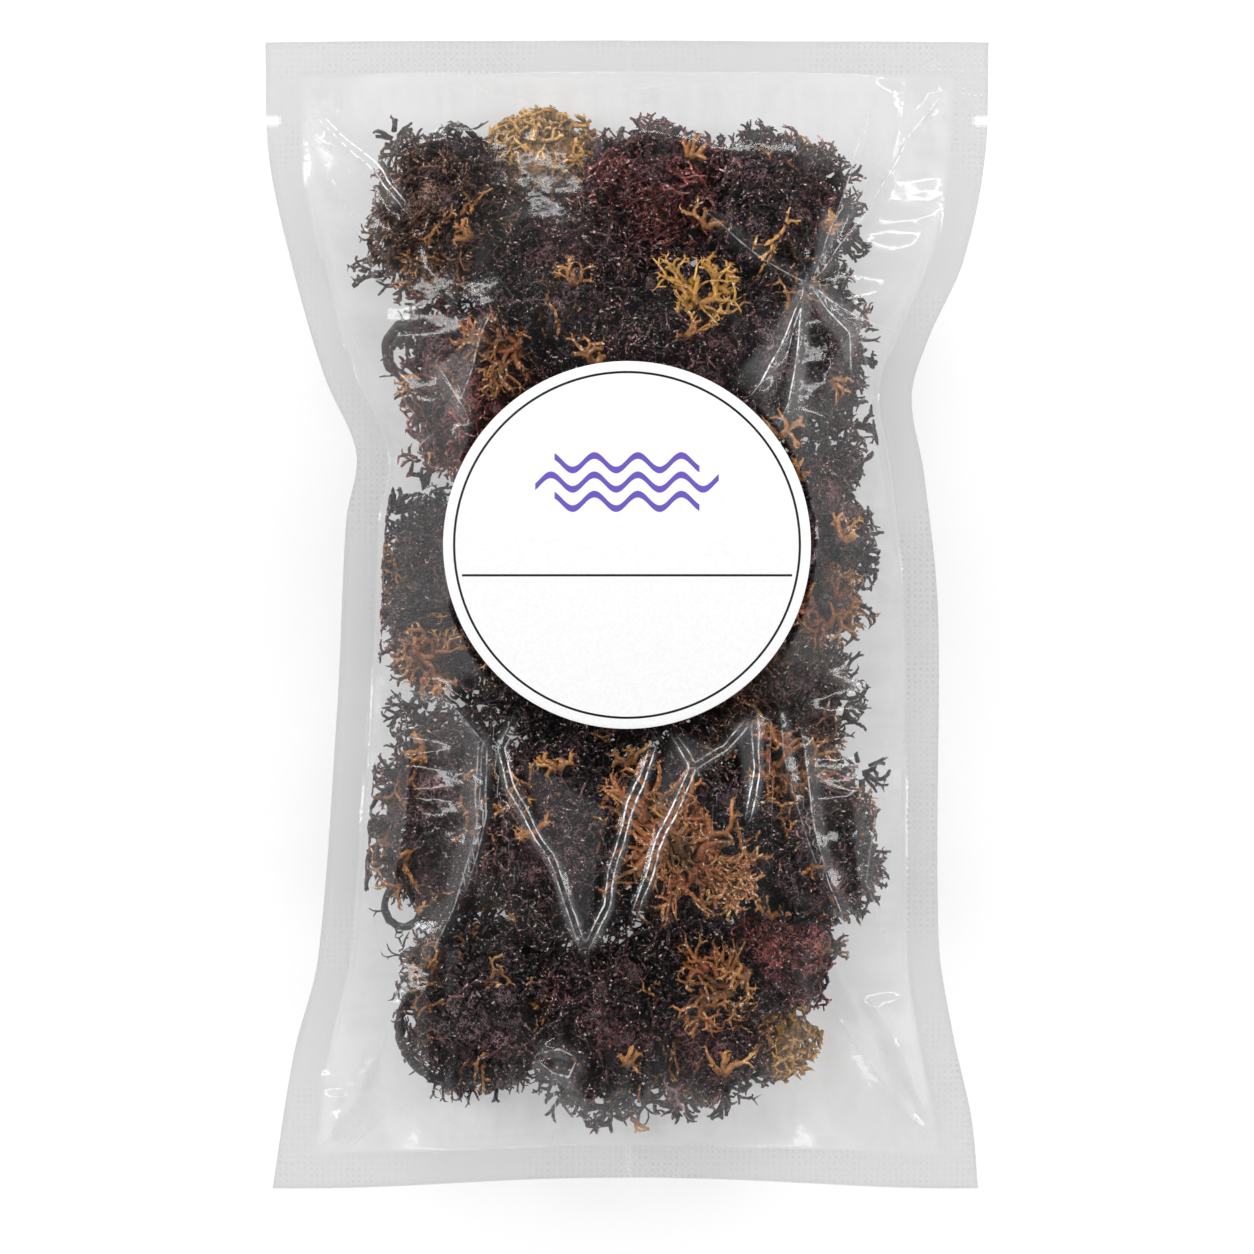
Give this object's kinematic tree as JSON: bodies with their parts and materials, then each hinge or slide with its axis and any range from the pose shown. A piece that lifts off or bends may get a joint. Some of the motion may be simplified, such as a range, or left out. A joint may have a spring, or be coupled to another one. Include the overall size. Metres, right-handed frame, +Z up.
{
  "type": "pouch of dried irish moss seaweed",
  "caption": "Clear sealed flat pouch filled with dried, finely forked irish moss seaweed, lying on its back, with a plain round sticker on its front.",
  "frame": {"origin": "on the table, under the middle of the pouch", "axes": "+X to the right across the pouch, +Y along the pouch to the end with the tear notches, +Z up from the table, out of the pouch's front"},
  "size_m": [0.1524, 0.2414, 0.0375],
  "materials": {
    "film": "clear, glossy, stiff and creased",
    "label_paper": "smooth, matt",
    "moss_black": "dry, tough, crinkled seaweed with a slight sheen",
    "moss_plum": "dry, tough, crinkled seaweed with a slight sheen",
    "moss_red": "dry, tough, crinkled seaweed with a slight sheen",
    "moss_brown": "dry, tough, crinkled seaweed with a slight sheen",
    "moss_amber": "dry, tough, crinkled seaweed with a slight sheen",
    "moss_gold": "dry, tough, crinkled seaweed with a slight sheen"
  },
  "bodies": {
    "root": {"pouch_front_film": "film", "pouch_back_film": "film", "label": "label_paper", "tuft_top_left": "moss_brown", "tuft_top_gold": "moss_gold", "tuft_top_middle": "moss_red", "tuft_top_right": "moss_plum", "tuft_upper_middle": "moss_black", "tuft_upper_left": "moss_red", "tuft_upper_centre": "moss_plum", "tuft_upper_right": "moss_black", "tuft_centre": "moss_black", "tuft_middle_right": "moss_plum", "tuft_middle_left": "moss_black", "tuft_lower_centre": "moss_black", "tuft_lower_side": "moss_brown", "tuft_lower_left": "moss_plum", "tuft_lower_middle": "moss_black", "tuft_lower_fan_bed": "moss_black", "tuft_lower_right": "moss_black", "tuft_bottom_left": "moss_black", "tuft_bottom_middle": "moss_plum", "tuft_bottom_right": "moss_plum", "tuft_bottom_red": "moss_red", "tuft_bottom_gold": "moss_gold", "frond_upper_left": "moss_amber", "frond_upper_right": "moss_gold", "frond_middle_right": "moss_amber", "frond_middle_left": "moss_amber", "frond_lower_fan": "moss_amber", "frond_lower_side": "moss_amber", "frond_bottom": "moss_amber"}
  },
  "joints": []
}
